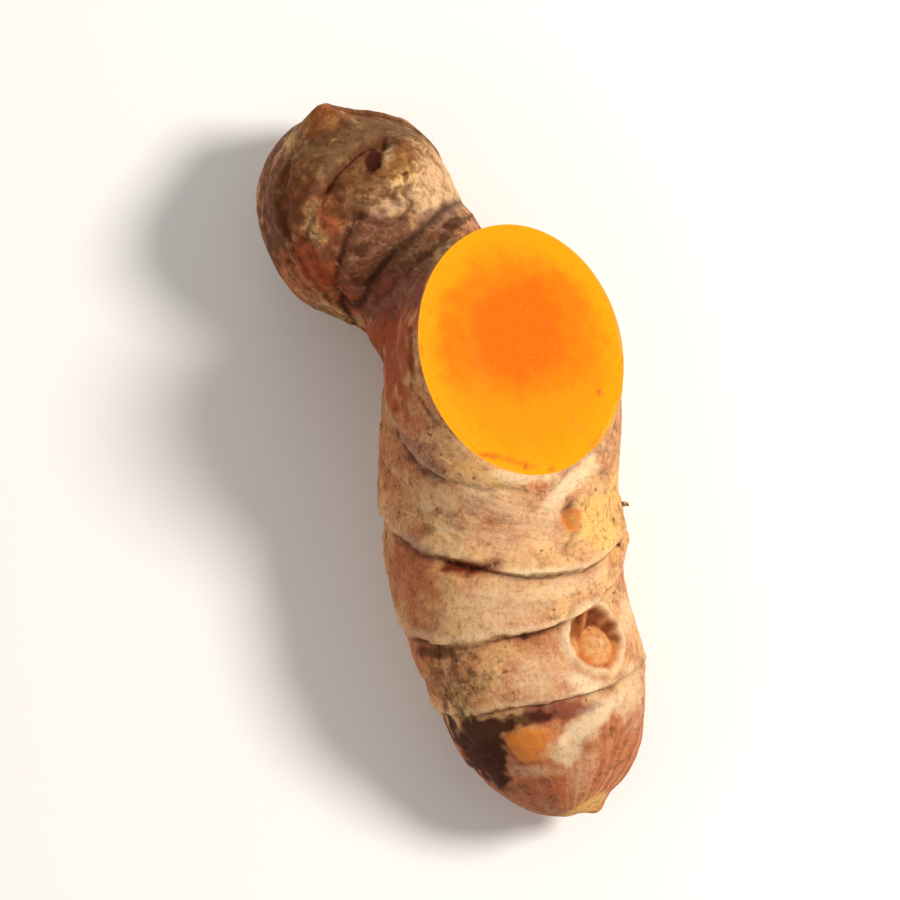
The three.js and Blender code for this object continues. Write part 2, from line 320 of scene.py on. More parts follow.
# How far above and below its seat a bud still shapes the skin, the number and the radius of the
# rootlet scars, and the seat of the yellow spot on the finger's end, by its place and its angle.
BUD_DEPTH = 3.5
ROOT_SCARS = 26
ROOT_SCAR_RADIUS = 0.55
TIP_BUD = (48.8, 32.0)

# The tones of the patches, and all the marks of the skin and the flesh as the mesh keeps them, four
# to a layer of corner colours.
TONES = ("red", "pale", "yellow", "grey", "dark", "plum")
LAYERS = {
    # In the scars' layer, the lip mark is partly a painted highlight, and the mark past the step and the
    # crease mark are painted shade.
    "scars": ("line", "worn_lip_and_highlight", "below", "crease"),
    # The buds' ring mark holds their grooves and painted shade in the hollows and on the buds' left
    # edges.
    "buds": ("ring", "heart", "lid", ""),
    "tones": ("red", "pale", "yellow", "grey"),
    # The dark tone holds old scale, painted shade in the eyes' hollows, and some painted shade patches.
    "skins": ("tip", "dark", "plum", ""),
    "flesh": ("share", "core", "nicks", "lit_edge"),
}

# The root's usual radius, by which an angle round it becomes a way in mm.
SKIN_RADIUS = 11.0

# What the skin holds for its distance from the core of the cut, in core sizes.
FAR_FROM_CORE = 4.0


def linear(hex_colour):
    """An sRGB hex colour as linear red, green and blue."""
    part = [int(hex_colour[i : i + 2], 16) / 255 for i in (1, 3, 5)]
    return tuple(c / 12.92 if c <= 0.04045 else ((c + 0.055) / 1.055) ** 2.4 for c in part)


def smooth(low, high, value):
    """0 below low, 1 above high, and a smooth cubic step between."""
    share = np.clip((value - low) / (high - low), 0.0, 1.0)
    return share * share * (3 - 2 * share)


def catmull(points, share):
    """A uniform Catmull-Rom curve through the points, at shares from 0 to 1 of all its spans."""
    p = np.asarray(points, float)
    spans = len(p) - 1
    held = np.vstack([2 * p[0] - p[1], p, 2 * p[-1] - p[-2]])
    at = np.clip(share, 0.0, 1.0) * spans
    i = np.minimum(at.astype(int), spans - 1)
    w = (at - i)[..., None]
    a, b, c, d = held[i], held[i + 1], held[i + 2], held[i + 3]
    cubic = -a + 3 * b - 3 * c + d
    square = 2 * a - 5 * b + 4 * c - d
    return 0.5 * (2 * b + (c - a) * w + square * w**2 + cubic * w**3)


NOISE_CELLS = 32
NOISE_TABLE = np.random.default_rng(SEED).uniform(-1, 1, (NOISE_CELLS,) * 3)


def noise(points, size, shift=0.0):
    """Value noise from -1 to 1: random values on a lattice of that cell size, blended by cubics."""
    q = points / size + shift * 7.31
    cell = np.floor(q).astype(int)
    f = q - cell
    f = f * f * (3 - 2 * f)
    total = np.zeros(points.shape[:-1])
    for corner in np.ndindex(2, 2, 2):
        index = (cell + corner) % NOISE_CELLS
        weight = np.prod(np.where(np.array(corner) == 1, f, 1 - f), axis=-1)
        total += weight * NOISE_TABLE[index[..., 0], index[..., 1], index[..., 2]]
    return total


def layered_noise(points, size, shift=0.0, layers=3):
    """A sum of noises, each half the size and half the strength of the one before."""
    return sum(noise(points, size / 2**k, shift + k) / 2**k for k in range(layers)) / 1.6


def sections(lobe, along):
    """The middle, side, top, facing and half sizes of a lobe's sections at places along it."""
    share = along / lobe["length"]
    middle = catmull([s["middle"] for s in lobe["stations"]], share)
    facing = catmull([s["facing"] for s in lobe["stations"]], share)
    facing /= np.linalg.norm(facing, axis=-1, keepdims=True)
    half = catmull([s["half"] for s in lobe["stations"]], share)
    side = np.array([1.0, 0.0, 0.0]) - facing[..., :1] * facing
    side /= np.linalg.norm(side, axis=-1, keepdims=True)
    return middle, side, np.cross(facing, side), facing, half


ROUND_POWER = 2.5
FADE = 5.0
SCAR_WANDER = 0.5
SWELL = 0.22
SWELL_WAVES = [(2, 0.31, 0.6, 1.0), (3, -0.23, 2.1, 0.6), (5, 0.47, 4.0, 0.35)]


def roundness(lobe, along):
    """The share of its full size that a lobe has: sqrt(1 - t^2.5) over each closed end."""
    closing = np.clip((along - lobe["round_from"]) / (lobe["length"] - lobe["round_from"]), 0, 1)
    opening = np.clip((lobe["round_to"] - along) / max(lobe["round_to"], 1e-9), 0, 1)
    return np.sqrt(np.clip((1 - closing**ROUND_POWER) * (1 - opening**ROUND_POWER), 0, 1))


def swelling(along, angle):
    """Three slow waves round and along the lobe, added up."""
    waves = [k * np.sin(n * angle + twist * along + start) for n, twist, start, k in SWELL_WAVES]
    return SWELL * sum(waves)


def wander(angle):
    """How far a scar is shifted along the lobe, a wave twice round and a weaker one five times."""
    return SCAR_WANDER * (0.6 * np.sin(2 * angle + 0.9) + 0.4 * np.sin(5 * angle + 2.3))


def plain_skin(lobe, share, angle, along):
    """Points of a lobe before its scars: middle + side * w * cos(angle) + top * h * sin(angle)."""
    outer = np.minimum(1.0, 2 * share)
    start, end = smooth(0, FADE, along), smooth(0, FADE, lobe["length"] - along)
    shifted = np.clip(along + wander(angle) * outer * start * end, 0, lobe["length"])
    middle, side, top, _, half = sections(lobe, shifted)
    relief = outer * swelling(along, angle) * start
    across = (half[..., 0] * share + relief) * np.cos(angle)
    over = (half[..., 1] * share + relief) * np.sin(angle)
    return middle + across[..., None] * side + over[..., None] * top


def unit(vectors):
    """Vectors of length one."""
    return vectors / np.maximum(np.linalg.norm(vectors, axis=-1, keepdims=True), 1e-9)


def seat(lobe, along, angle_degrees):
    """The point of the skin at a place along and an angle, and the way out of the skin there."""
    turn = math.radians(angle_degrees)
    near = np.array([[0, 0], [0.4, 0], [-0.4, 0], [0, 0.1], [0, -0.1]])
    s, a = along + near[:, 0], turn + near[:, 1]
    p = plain_skin(lobe, roundness(lobe, s), a, s)
    return p[0], unit(np.cross(p[3] - p[4], p[1] - p[2]))


def along_rows(lobe, step):
    """Places along a lobe for its rows: even in the tube, and by a sine or cosine over a closed end.

    A closed end has more rows than its length, since the skin turns there, and stops short of its pole.
    """
    rows = []
    if lobe["round_to"] > 0:
        count = int(1.25 * (lobe["round_to"] + 4) / step)
        phase = np.linspace(0.004, 1, count, endpoint=False) * np.pi / 2
        rows.append(lobe["round_to"] * (1 - np.cos(phase)))
    tube = lobe["round_from"] - lobe["round_to"]
    count = max(2, int(tube / step))
    rows.append(np.linspace(lobe["round_to"], lobe["round_from"], count, endpoint=False))
    end = lobe["length"] - lobe["round_from"]
    phase = np.linspace(0, 0.996, int(1.25 * (end + 4) / step)) * np.pi / 2
    rows.append(lobe["round_from"] + end * np.sin(phase))
    return np.concatenate(rows)


def grid_normals(points, middle):
    """Outward unit normals of a grid closed in its columns, from the differences of its neighbours."""
    lengthways = np.gradient(points, axis=0)
    crossways = np.roll(points, -1, axis=1) - np.roll(points, 1, axis=1)
    normal = unit(np.cross(crossways, lengthways))
    inward = np.sum(normal * (points - middle), axis=-1, keepdims=True) < 0
    return np.where(inward, -normal, normal)


def away_from(points, lobe):
    """Rough distance of points outside a lobe: to its middle line, less its half width there."""
    along = np.linspace(0.12, 0.9, 40) * lobe["length"]
    middle, _, _, _, half = sections(lobe, along)
    size = half[:, 0] * roundness(lobe, along)
    flat = points.reshape(-1, 3)
    distance = np.full(len(flat), np.inf)
    for centre, radius in zip(middle, size):
        np.minimum(distance, np.linalg.norm(flat - centre, axis=1) - radius, out=distance)
    return distance.reshape(points.shape[:-1])


def fillet(points, lobe, reach):
    """The rise of a smooth union: (reach - distance)^2 / (4 reach) within reach of the other lobe."""
    gap = np.clip(away_from(points, lobe), 0.0, reach)
    return (reach - gap) ** 2 / (4 * reach)


def photo_plane(points):
    """Where points in mm fall in the photograph's own directions: to the right, and up the picture."""
    tilt = math.radians(CAMERA_ELEVATION)
    return points[..., 0], points[..., 1] * math.sin(tilt) + points[..., 2] * math.cos(tilt)


# Nicks and specks in the cut face: the pixel of each in the photograph, its half length and half
# width in mm, how far it is turned anticlockwise in degrees, and its strength.
CUT_MARKS = [
    ((566, 453), (1.6, 0.22), -8, 0.75),
    ((578, 456), (2.0, 0.14), -14, 0.6),
    ((583, 458), (0.34, 0.22), 0, 0.9),
    ((596, 460), (0.32, 0.18), 0, 0.8),
    ((620, 421), (0.26, 0.26), 0, 0.9),
    ((626, 438), (0.3, 0.18), 40, 0.5),
    ((618, 445), (1.2, 0.12), 48, 0.4),
    ((532, 420), (0.9, 0.16), -75, 0.6),
    ((531, 402), (0.6, 0.14), 90, 0.5),
]

# Where the darker core lies off the middle of the cut, and its half width and half height, as the
# camera sees them.
CORE_SHIFT = (-0.5, 2.0, 0.0)
CORE_SIZE = (5.4, 5.6)

# The cut's radius, and how far below level its painted highlight along the edge is centred, at the lower
# right.
CUT_RADIUS = 12.0
CUT_LIT_FROM = 40


def bell(value, middle, width):
    """A bell curve: e^(-((value - middle) / width)^2)."""
    return np.exp(-(((value - middle) / width) ** 2))


def oval_gap(right, up, pixel, size, turn):
    """How far out places lie in a turned oval round a pixel of the photograph. Its edge is at 1."""
    x = right - (pixel[0] - PHOTO_ZERO[0]) * MM_PER_PIXEL
    y = up - (PHOTO_ZERO[1] - pixel[1]) * MM_PER_PIXEL
    c, s = math.cos(math.radians(turn)), math.sin(math.radians(turn))
    return np.hypot((x * c + y * s) / size[0], (y * c - x * s) / size[1])


def patch_tones(points):
    """The strength of each tone: turned ovals with ragged edges, which fade out near the ground."""
    right, up = photo_plane(points)
    seen = smooth(3.5, 8.0, points[..., 2])
    ragged = 0.45 * layered_noise(points, 2.0, 3.0) + 0.4 * noise(points, 0.7, 5.0)
    tones = {tone: np.zeros(points.shape[:-1]) for tone in TONES}
    for tone, pixel, size, turn, strength in PATCHES:
        gap = oval_gap(right, up, pixel, size, turn) + ragged
        soft = 0.25 if tone in ("dark", "plum") else 0.5
        np.maximum(tones[tone], smooth(1 + soft, 1 - soft, gap) * strength * seen, out=tones[tone])
    return tones


def fold_fields(lobe, points, normals):
    """Relief and painted shade of the folds, by the distance in the photograph's plane to each broken
    line.
    """
    here = np.stack(photo_plane(points), axis=-1) + 0.25 * noise(points, 1.1, 33.0)[..., None]
    seen = smooth(0.0, 0.3, normals[..., 2])
    relief = np.zeros(seen.shape)
    line = np.zeros(seen.shape)
    for name, strength, width, pixels in FOLDS:
        if name != lobe["name"]:
            continue
        corners = (np.array(pixels, float) - PHOTO_ZERO) * (MM_PER_PIXEL, -MM_PER_PIXEL)
        gap = np.full(seen.shape, np.inf)
        for start, end in zip(corners[:-1], corners[1:]):
            span = end - start
            share = np.clip((here - start) @ span / (span @ span), 0, 1)
            gap = np.minimum(gap, np.linalg.norm(here - start - share[..., None] * span, axis=-1))
        relief -= 0.6 * strength * bell(gap, 0, 1.6 * width) * seen
        # Painted shade: a dark line down each fold.
        line = np.maximum(line, strength * bell(gap, 0, width) * seen)
    return relief, line


def scar_fields(lobe, points, along, angle, sizes):
    """Relief and marks of the leaf scars: a slow rise to a lip, pale where rubbed and as a painted
    highlight, a step down, a dark line below, and painted shade past the step.

    For a place t past the scar the relief is rise * e^(t / 2.2) before it and -drop * e^(-t / 1.5)
    after it, and the dark line is e^(-((t - 0.2) / 0.26)^2). Scars are weaker on a lobe's right side.
    """
    ragged = 0.30 * noise(points, 2.2, 1.0) + 0.14 * noise(points, 0.7, 2.0)
    flank = np.abs((np.degrees(angle) + 190) % 360 - 180)
    relief, line, worn_lip_and_highlight, below = np.zeros((4, *along.shape))
    for place, strength, centre, reach in lobe["scars"] + lobe.get("creases", []):
        turn = np.abs((np.degrees(angle) - centre + 180) % 360 - 180)
        here = strength * (0.78 + 0.4 * noise(points, 5.0, place))
        here = here * (smooth(reach, 0.5 * reach, turn) if reach < ALL_ROUND else 1.0)
        here = here * (1 - 0.68 * smooth(65, 25, flank))
        past = along - place + ragged
        over = smooth(-0.14, 0.16, past)
        lip = sizes.lip_rise * np.exp(np.minimum(past, 0) / 2.2) * (1 - over)
        drop = sizes.step_drop * np.exp(-np.maximum(past, 0) / 1.5) * over
        relief += here * (lip - drop) / MM
        line = np.maximum(line, here * bell(past, 0.2, 0.26))
        # The lip is pale where it is rubbed, and partly a painted highlight.
        worn_lip_and_highlight = np.maximum(worn_lip_and_highlight, here * bell(past, -0.5, 0.45))
        # Painted shade: redder for about a millimetre past the step, under the lip.
        below = np.maximum(below, here * np.exp(-np.maximum(past, 0) / 1.3) * over)
    return relief, *np.clip((line, worn_lip_and_highlight, below), 0, 1)


def eye_section(u, v, share, streaks):
    """A bud eye: a lid round a hollow, a low dome in the hollow's lower half, and a ridge above it.

    With the dome's own share t, the height is 0.52 e^(-((share - 1.02) / 0.16)^2) for the lid, -0.25
    inside it and deeper above, and 0.5 (1 - t^2)^1.5 for the dome. The ridge runs up from the dome.
    """
    t = np.hypot(u - 0.05, v + 0.24) / 0.62
    ridge = bell((u + 0.42) * 0.96 - (v - 0.3) * 0.22, 0, 0.11) * smooth(-0.1, 0.2, v)
    inside = smooth(1.0, 0.78, share)
    dome = np.clip(1 - t**2, 0, 1)
    height = 0.52 * bell(share, 1.02, 0.16) * streaks
    height = height - (0.25 + 0.45 * smooth(-0.2, 0.4, v)) * inside
    height = height + (0.5 * dome**1.5 + 0.5 * ridge * smooth(0.95, 1.1, t)) * inside
    # Painted shade in the upper part of the hollow. It dims the heart and darkens the grooves.
    hollow = inside * smooth(0.86, 1.08, t) * smooth(-0.3, 0.25, v) * (1 - 0.8 * ridge)
    hollow = np.clip(hollow * 1.4 * streaks, 0, 1)
    arcs = 0.8 * bell(t, 1.03, 0.09) + 0.5 * bell(share, 0.86, 0.06) + 0.35 * bell(share, 1.25, 0.07)
    glow = inside * (0.35 + 0.75 * smooth(0.25, 0.95, t)) * (1 - 0.6 * hollow)
    return height, glow, np.clip(arcs * streaks + 0.85 * hollow, 0, 1), hollow


def bud_fields(lobe, points):
    """Relief and marks of the buds on a lobe, by the distance from each seat over its radius."""
    relief, heart, ring, lid, eye_hollow_shade = np.zeros((5, *points.shape[:-1]))
    for name, along, degrees, radius, stretch, rise, colour, kind in BUDS:
        if name != lobe["name"]:
            continue
        centre, out = seat(lobe, along, degrees)
        gap = points - centre
        depth = gap @ out
        flat = gap - depth[..., None] * out
        across = unit(np.array([1.0, 0.0, 0.0]) - out[0] * out)
        u = flat @ across / (stretch * radius)
        v = flat @ np.cross(out, across) / radius
        share = np.hypot(u, v)
        rough = {"torn": 4.5, "blister": 2.0}.get(kind, 1.2)
        wobble = 0.08 * noise(points, 1.9, along) * share + 0.05 * noise(points, 0.7, along)
        share = share + rough * wobble
        share = share + np.where(np.abs(depth) > BUD_DEPTH, 9.0, 0.0)
        spokes = np.stack([3 * np.arctan2(v, u), share * 2, depth * 0], axis=-1)
        streaks = 0.75 + 0.45 * noise(spokes, 0.8, 9.0)
        if kind == "eye":
            height, glow, shade, hollow = eye_section(u, v, share, streaks)
            lid = np.maximum(lid, bell(share, 1.04, 0.15))
            eye_hollow_shade = np.maximum(eye_hollow_shade, hollow)
        else:
            height = np.interp(share, *BUD_SECTIONS[kind])
            glow = smooth(*((1.25, 0.35) if kind == "torn" else (1.02, 0.78)), share)
            glow = glow * (smooth(0.95, 0.0, u) if kind == "blister" else 1.0)
            # Painted shade: a dark edge on the left of the bud.
            shade = 0.5 * bell(share, 1.04, 0.08) * smooth(0.6, -0.4, u) * streaks
        relief += rise * height
        heart = np.maximum(heart, colour * glow)
        ring = np.maximum(ring, shade)
    return relief, heart, ring, lid, eye_hollow_shade


def root_scars(lobe):
    """Seats of the small round scars where rootlets were: random, mostly below and at the sides."""
    draw = np.random.default_rng(SEED + len(lobe["name"]))
    count = int(ROOT_SCARS * lobe["length"] / (FINGER["length"] + KNOB["length"]))
    along = draw.uniform(0.12, 0.9, count) * lobe["length"]
    angle = 270 + draw.normal(0, 62, count)
    return [seat(lobe, s, a) + (draw.uniform(0.7, 1.3),) for s, a in zip(along, angle)]


def root_scar_fields(lobe, points):
    """Relief and marks of the rootlet scars: a tiny raised ring round a dark hollow."""
    relief, dark = np.zeros((2, *points.shape[:-1]))
    for centre, _, size in root_scars(lobe):
        share = np.linalg.norm(points - centre, axis=-1) / (ROOT_SCAR_RADIUS * size)
        relief += 0.16 * bell(share, 1.0, 0.4) - 0.14 * bell(share, 0, 0.5)
        dark = np.maximum(dark, np.exp(-((share / 0.75) ** 4)))
    return relief, dark


def fine_relief(points, along, tip):
    """Wrinkles round the lobe, small lumps and grain, in mm. The tip is smoother."""
    bent = along + 0.8 * noise(points, 4.0, 11.0)
    wrinkle = np.sin(bent * 2 * np.pi / 1.35 + 2.2 * noise(points, 3.0, 12.0))
    wrinkle = 0.03 * wrinkle * smooth(-0.25, 0.6, noise(points, 4.5, 13.0)) * smooth(3, 9, along)
    lumps = 0.26 * noise(points, 5.5, 14.0) + 0.11 * noise(points, 2.1, 15.0)
    grain = 0.045 * noise(points, 0.8, 16.0)
    return (wrinkle + grain) * (1 - 0.6 * tip) + lumps


def in_layers(marks):
    """Marks by name put into the layers, four to each. A mark that isn't given is 0."""
    blank = np.zeros(next(iter(marks.values())).shape)
    stacks = {layer: [marks.get(name, blank) for name in names] for layer, names in LAYERS.items()}
    return {layer: np.stack(stack, axis=-1) for layer, stack in stacks.items()}


def lobe_surface(lobe, sizes):
    """A lobe's grid: its points in mm with scars, buds and wrinkles, its ways, and its layers."""
    along = along_rows(lobe, sizes.grid_step / MM)[:, None]
    angle = np.linspace(-np.pi / 2, 1.5 * np.pi, lobe["columns"], endpoint=False)[None]
    along, angle = np.broadcast_arrays(along, angle)
    full = roundness(lobe, along)
    points = plain_skin(lobe, full, angle, along)
    normals = grid_normals(points, sections(lobe, along)[0])
    scar, line, worn_lip_and_highlight, below = scar_fields(lobe, points, along, angle, sizes)
    bud, heart, ring, lid, eye_hollow_shade = bud_fields(lobe, points)
    hole, speck = root_scar_fields(lobe, points)
    fold, fold_shade = fold_fields(lobe, points, normals)
    # The dark line mark also carries the painted shade of the folds.
    line = np.maximum.reduce([line, fold_shade, 0.8 * speck])
    tip = smooth(37.5, 40.5, along + 0.8 * noise(points, 3.0, 17.0)) if lobe is FINGER else 0 * along
    rise = scar * np.minimum(1, 2 * full) + bud + hole + fold
    rise = rise + fine_relief(points, along, tip) * smooth(0, 1.2, along + (lobe is not FINGER) * 2)
    for other, reach in sizes.joins[lobe["name"]]:
        rise = rise + fillet(points, other, reach)
    points = points + rise[..., None] * normals
    tones = patch_tones(points)
    # Painted shade: the eyes' hollows darken the skin through the dark tone.
    tones["dark"] = np.maximum(tones["dark"], 0.72 * eye_hollow_shade)
    if lobe is FINGER:
        end = np.linalg.norm(points - seat(lobe, *TIP_BUD)[0], axis=-1) + 0.5 * noise(points, 0.9, 35.0)
        tones["yellow"] = np.maximum(tones["yellow"], smooth(3.2, 1.9, end))
        # Painted shade: the tip is redder where its skin faces down.
        tones["red"] = np.maximum(tones["red"], 0.7 * smooth(0.3, 0.7, -normals[..., 2]) * tip)
    worn_down = (1 - tones["pale"]) * (1 - 0.7 * tones["red"]) * (0.55 + 0.45 * noise(points, 4.0, 31.0))
    tones["grey"] = np.maximum(tones["grey"], lobe["dust"] * worn_down)
    marks = {"line": line, "worn_lip_and_highlight": worn_lip_and_highlight * lobe["lip_wear_and_highlight"], "below": below}
    marks.update(tones, ring=ring, heart=heart, lid=lid, tip=tip)
    marks.update(share=np.ones(tip.shape), core=np.full(tip.shape, FAR_FROM_CORE))
    way = np.stack([along, angle * SKIN_RADIUS], axis=-1)
    return {"points": points, "way": way, **in_layers(marks)}


def cut_surface(rim, sizes):
    """The cut face as rings from the middle to the rim: middle + share * (rim - middle) + relief."""
    middle = np.array(FINGER["stations"][0]["middle"])
    facing = -unit(np.array(FINGER["stations"][0]["facing"]))
    rings = int(CUT_RADIUS / (sizes.grid_step / MM * 1.3))
    share = np.linspace(0, 1, rings, endpoint=False)[1:, None, None] ** 0.9
    points = middle + share * (rim[None] - middle)
    level = 0.05 * noise(points, 4.0, 21.0) + 0.03 * noise(points, 1.1, 22.0)
    level = level + 0.014 * noise(points, 0.5, 23.0)
    dish = 0.10 * smooth(0.62, 0.40, share[..., 0]) - 0.10 * smooth(0.86, 0.99, share[..., 0])
    points = points + (level + dish)[..., None] * facing
    x, y = photo_plane(points - middle - CORE_SHIFT)
    wider = smooth(4.0, 9.0, np.hypot(x, y))
    core = np.hypot(x / (CORE_SIZE[0] + 2.0 * wider), y / (CORE_SIZE[1] - 0.4 * wider))
    nicks = np.zeros(core.shape)
    right, up = photo_plane(points)
    ragged = 0.5 * noise(points, 0.5, 25.0)
    for pixel, size, turn, strength in CUT_MARKS:
        gap = oval_gap(right, up, pixel, size, turn) + ragged
        np.maximum(nicks, strength * smooth(1.5, 0.5, gap), out=nicks)
    # Painted highlight: a thin bright edge round the lower right of the cut, broken up by noise.
    turn = np.arctan2(up - up.mean(), right - right.mean()) + math.radians(CUT_LIT_FROM)
    lit_edge = smooth(0.3, 0.9, np.cos(turn)) * smooth(-0.3, 0.3, noise(points, 2.0, 27.0))
    points = points - 0.12 * nicks[..., None] * facing
    share = np.broadcast_to(share[..., 0], core.shape)
    marks = {"share": share, "core": core, "nicks": nicks, "lit_edge": lit_edge}
    return {"points": points, "way": np.zeros((*core.shape, 2)), **in_layers(marks)}


def grid_faces(rows, columns, first=0):
    """Quads of a grid closed in its columns, wound so that they face outwards."""
    index = first + np.arange(rows * columns).reshape(rows, columns)
    after = np.roll(index, -1, axis=1)
    return np.stack([index[:-1], after[:-1], after[1:], index[1:]], axis=-1).reshape(-1, 4)


def fan_faces(pole, ring, flip):
    """Triangles from a pole to a closed ring of vertices."""
    after = np.roll(ring, -1)
    around = np.stack([np.full(len(ring), pole), ring, after], axis=-1)
    return around[:, ::-1] if flip else around


LOBE_NUMBER = {"finger": 0, "cut face": 1, "knob": 2, "shoulder": 3}


def lobe_mesh(lobe, sizes):
    """A closed mesh of a lobe. The finger starts in its cut face, the other lobes at a pole."""
    grid = lobe_surface(lobe, sizes)
    inner = 0
    if lobe is FINGER:
        cut = cut_surface(grid["points"][0], sizes)
        inner = len(cut["points"])
        grid = {key: np.concatenate([cut[key], value]) for key, value in grid.items()}
    rows, columns = grid["points"].shape[:2]
    total = rows * columns
    fields = {}
    for key, value in grid.items():
        poles = value[[0, -1]].mean(axis=1)
        fields[key] = np.vstack([value.reshape(total, -1), poles])
    if lobe is FINGER:
        fields["flesh"][total, LAYERS["flesh"].index("share")] = 0.0
    quads = grid_faces(rows, columns)
    first_fan = fan_faces(total, np.arange(columns), True)
    last_fan = fan_faces(total + 1, np.arange(total - columns, total), False)
    numbers = np.full(len(quads) + 2 * columns, LOBE_NUMBER[lobe["name"]], dtype=np.int32)
    if lobe is FINGER:
        numbers[: inner * columns] = LOBE_NUMBER["cut face"]
        numbers[len(quads) : len(quads) + columns] = LOBE_NUMBER["cut face"]
    mesh = bpy.data.meshes.new(lobe["name"])
    faces = quads.tolist() + first_fan.tolist() + last_fan.tolist()
    mesh.from_pydata((fields["points"] * MM).tolist(), [], faces)
    store_corners(mesh, fields)
    mesh.attributes.new("lobe", "INT", "FACE").data.foreach_set("value", numbers)
    return mesh


def corners_and_faces(mesh):
    """The vertex and the face of each of a mesh's corners."""
    corner = np.empty(len(mesh.loops), dtype=np.int32)
    mesh.loops.foreach_get("vertex_index", corner)
    counts = np.empty(len(mesh.polygons), dtype=np.int32)
    mesh.polygons.foreach_get("loop_total", counts)
    return corner, np.repeat(np.arange(len(counts)), counts)


def store_corners(mesh, fields):
    """Keeps the skin's layers as colours on the face corners, and its two ways as a UV map.

    Where a face crosses the line at which the angle starts again, its low corners get a whole turn.
    """
    corner, face = corners_and_faces(mesh)
    for key in LAYERS:
        layer = mesh.attributes.new(key, "FLOAT_COLOR", "CORNER")
        layer.data.foreach_set("color", fields[key][corner].astype(np.float32).ravel())
    way = fields["way"][corner]
    highest = np.full(len(mesh.polygons), -np.inf)
    np.maximum.at(highest, face, way[:, 1])
    turn = 2 * np.pi * SKIN_RADIUS
    way[:, 1] += np.where(highest[face] - way[:, 1] > turn / 2, turn, 0)
    layer = mesh.uv_layers.new(name="way")
    layer.data.foreach_set("uv", way.astype(np.float32).ravel())


def united(meshes):
    """One mesh of the outer skin of all the lobes, by a Boolean union."""
    objects = [bpy.data.objects.new(mesh.name, mesh) for mesh in meshes]
    for piece in objects:
        bpy.context.scene.collection.objects.link(piece)
    for other in objects[1:]:
        join = objects[0].modifiers.new(other.name, "BOOLEAN")
        join.operation = "UNION"
        join.solver = "MANIFOLD"
        join.object = other
    graph = bpy.context.evaluated_depsgraph_get()
    whole = bpy.data.meshes.new_from_object(objects[0].evaluated_get(graph))
    for piece in objects:
        bpy.data.objects.remove(piece)
    return whole


def mesh_arrays(mesh):
    """A mesh's points in mm, and its edges."""
    points = np.empty(len(mesh.vertices) * 3)
    mesh.vertices.foreach_get("co", points)
    edges = np.empty(len(mesh.edges) * 2, dtype=np.int32)
    mesh.edges.foreach_get("vertices", edges)
    return points.reshape(-1, 3) / MM, edges.reshape(-1, 2)


FAR = 1e3
SEAM_REACH = 3.0
RELAX_STEP = 0.6


def seam_distance(points, corner, number, pairs):
    """Each point's distance to the nearest seam between two lobes of the given pairs."""
    seen = np.zeros((len(points), len(LOBE_NUMBER)), dtype=bool)
    seen[corner, number] = True
    on_seam = np.zeros(len(points), dtype=bool)
    for one, other in pairs:
        on_seam |= seen[:, LOBE_NUMBER[one]] & seen[:, LOBE_NUMBER[other]]
    seam = points[on_seam]
    distance = np.full(len(points), FAR)
    low, high = seam.min(axis=0) - SEAM_REACH, seam.max(axis=0) + SEAM_REACH
    near = np.flatnonzero(((points > low) & (points < high)).all(axis=1))
    for part in np.array_split(near, max(1, len(near) // 1000)):
        gaps = np.linalg.norm(points[part, None] - seam[None], axis=-1)
        distance[part] = gaps.min(axis=1)
    return distance


def relaxed(points, edges, weight, rounds):
    """Points drawn towards the mean of their neighbours, by their weight, round after round."""
    count = np.bincount(edges.ravel(), minlength=len(points)).astype(float)
    for _ in range(rounds):
        total = np.zeros_like(points)
        for axis in range(3):
            total[:, axis] = np.bincount(edges[:, 0], points[edges[:, 1], axis], len(points))
            total[:, axis] += np.bincount(edges[:, 1], points[edges[:, 0], axis], len(points))
        points = points + (weight * RELAX_STEP)[:, None] * (total / count[:, None] - points)
    return points


def hand_over(mesh, name, materials):
    """Puts a mesh in the scene as a finished piece, smooth shaded, with its materials."""
    piece = bpy.data.objects.new(name, mesh)
    bpy.context.scene.collection.objects.link(piece)
    mesh.shade_smooth()
    mesh.materials.clear()
    for material in materials:
        mesh.materials.append(material)
    return piece


# The places of a Mix node's two colours among its inputs and of the mixed one among its outputs, and
# the mark of a coat that lies all over.
MIX_UNDER, MIX_OVER, MIX_COLOUR = 6, 7, 2
ALL_OVER = 1.0


def node(tree, kind, inputs, give=0, **settings):
    """Adds a node with its settings, gives its inputs values or links, and returns an output."""
    made = tree.nodes.new("ShaderNode" + kind)
    for name, value in settings.items():
        setattr(made, name, value)
    for name, value in inputs.items():
        if isinstance(value, bpy.types.NodeSocket):
            tree.links.new(value, made.inputs[name])
        else:
            made.inputs[name].default_value = value
    return made.outputs[give] if made.outputs else None


def new_material(name):
    """An empty node material, its tree, and the place on the piece in mm."""
    material = bpy.data.materials.new(name)
    material.use_nodes = True
    tree = material.node_tree
    tree.nodes.clear()
    place = node(tree, "TexCoord", {}, "Object")
    return material, tree, node(tree, "VectorMath", {0: place, "Scale": 1 / MM}, operation="SCALE")


def kept_marks(tree, layer):
    """The four marks that one layer keeps on the mesh, in the order of LAYERS."""
    colour = node(tree, "Attribute", {}, attribute_name=layer)
    return *node(tree, "SeparateColor", {"Color": colour}).node.outputs, colour.node.outputs["Alpha"]


def lumpy(tree, *patterns):
    """Noises, each from the place it reads, its lumps' size in mm, detail, roughness and stretch."""
    for place, size, detail, roughness, *stretch in patterns:
        scale = [1 / (size * share) for share in stretch or (1.0, 1.0, 1.0)]
        moved = node(tree, "Mapping", {"Vector": place, "Scale": scale})
        inputs = {"Vector": moved, "Scale": 1.0, "Detail": detail, "Roughness": roughness}
        yield node(tree, "TexNoise", inputs)


def summed(tree, total, *parts):
    """A total with each part times its weight added to it."""
    for part, weight in parts:
        total = node(tree, "Math", {0: part, 1: weight, 2: total}, operation="MULTIPLY_ADD")
    return total


